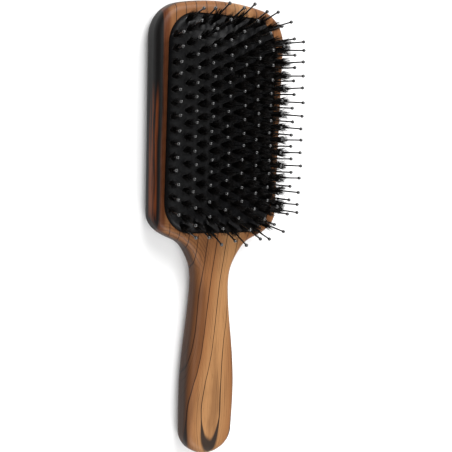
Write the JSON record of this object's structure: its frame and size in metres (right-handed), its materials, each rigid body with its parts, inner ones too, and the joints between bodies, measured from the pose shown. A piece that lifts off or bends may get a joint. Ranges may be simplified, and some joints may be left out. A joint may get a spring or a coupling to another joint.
{
  "type": "hairbrush",
  "caption": "Wooden paddle hairbrush with a black rubber air cushion, dark bristle tufts and ball-tipped nylon pins.",
  "frame": {"origin": "middle of the whole brush's footprint, on the flat of its back", "axes": "+X across the head, +Y from the handle to the top of the head, +Z from the back towards the tufts"},
  "size_m": [0.0826, 0.25, 0.0446],
  "materials": {
    "wood": "satin varnish over dark-veined grain",
    "cushion_rubber": "smooth satin",
    "anchor_nylon": "moulded",
    "pin_nylon": "glossy, polished balls",
    "bristle": "dull natural hair"
  },
  "bodies": {
    "wood": {"wooden_body": "wood"},
    "cushion": {"cushion_pad": "cushion_rubber"},
    "row_01": {"row_01_tuft_anchors": "anchor_nylon", "row_01_ball_pins": "pin_nylon", "row_01_boar_bristles": "bristle"},
    "row_02": {"row_02_tuft_anchors": "anchor_nylon", "row_02_ball_pins": "pin_nylon", "row_02_boar_bristles": "bristle"},
    "row_03": {"row_03_tuft_anchors": "anchor_nylon", "row_03_ball_pins": "pin_nylon", "row_03_boar_bristles": "bristle"},
    "row_04": {"row_04_tuft_anchors": "anchor_nylon", "row_04_ball_pins": "pin_nylon", "row_04_boar_bristles": "bristle"},
    "row_05": {"row_05_tuft_anchors": "anchor_nylon", "row_05_ball_pins": "pin_nylon", "row_05_boar_bristles": "bristle"},
    "row_06": {"row_06_tuft_anchors": "anchor_nylon", "row_06_ball_pins": "pin_nylon", "row_06_boar_bristles": "bristle"},
    "row_07": {"row_07_tuft_anchors": "anchor_nylon", "row_07_ball_pins": "pin_nylon", "row_07_boar_bristles": "bristle"},
    "row_08": {"row_08_tuft_anchors": "anchor_nylon", "row_08_ball_pins": "pin_nylon", "row_08_boar_bristles": "bristle"},
    "row_09": {"row_09_tuft_anchors": "anchor_nylon", "row_09_ball_pins": "pin_nylon", "row_09_boar_bristles": "bristle"},
    "row_10": {"row_10_tuft_anchors": "anchor_nylon", "row_10_ball_pins": "pin_nylon", "row_10_boar_bristles": "bristle"}
  },
  "joints": [
    {"name": "cushion_press", "type": "slide", "parent": "wood", "child": "cushion", "axis": [0, 0, -1], "range_m": [0, 0.0025], "stiffness_N_per_m": 6000, "deforming": ["cushion_pad"]},
    {"name": "row_01_lean", "type": "hinge", "parent": "cushion", "child": "row_01", "pos_m": [-0.03173, 0.0585, 0.01657], "axis": [0, 1, 0], "range_deg": [-10, 10], "stiffness_Nm_per_rad": 0.15},
    {"name": "row_02_lean", "type": "hinge", "parent": "cushion", "child": "row_02", "pos_m": [-0.02467, 0.0585, 0.01887], "axis": [0, 1, 0], "range_deg": [-10, 10], "stiffness_Nm_per_rad": 0.15},
    {"name": "row_03_lean", "type": "hinge", "parent": "cushion", "child": "row_03", "pos_m": [-0.01762, 0.0585, 0.0206], "axis": [0, 1, 0], "range_deg": [-10, 10], "stiffness_Nm_per_rad": 0.15},
    {"name": "row_04_lean", "type": "hinge", "parent": "cushion", "child": "row_04", "pos_m": [-0.01057, 0.0585, 0.02175], "axis": [0, 1, 0], "range_deg": [-10, 10], "stiffness_Nm_per_rad": 0.15},
    {"name": "row_05_lean", "type": "hinge", "parent": "cushion", "child": "row_05", "pos_m": [-0.00352, 0.0585, 0.02233], "axis": [0, 1, 0], "range_deg": [-10, 10], "stiffness_Nm_per_rad": 0.15},
    {"name": "row_06_lean", "type": "hinge", "parent": "cushion", "child": "row_06", "pos_m": [0.00352, 0.0585, 0.02233], "axis": [0, 1, 0], "range_deg": [-10, 10], "stiffness_Nm_per_rad": 0.15},
    {"name": "row_07_lean", "type": "hinge", "parent": "cushion", "child": "row_07", "pos_m": [0.01057, 0.0585, 0.02175], "axis": [0, 1, 0], "range_deg": [-10, 10], "stiffness_Nm_per_rad": 0.15},
    {"name": "row_08_lean", "type": "hinge", "parent": "cushion", "child": "row_08", "pos_m": [0.01762, 0.0585, 0.0206], "axis": [0, 1, 0], "range_deg": [-10, 10], "stiffness_Nm_per_rad": 0.15},
    {"name": "row_09_lean", "type": "hinge", "parent": "cushion", "child": "row_09", "pos_m": [0.02467, 0.0585, 0.01887], "axis": [0, 1, 0], "range_deg": [-10, 10], "stiffness_Nm_per_rad": 0.15},
    {"name": "row_10_lean", "type": "hinge", "parent": "cushion", "child": "row_10", "pos_m": [0.03173, 0.0585, 0.01657], "axis": [0, 1, 0], "range_deg": [-10, 10], "stiffness_Nm_per_rad": 0.15}
  ]
}
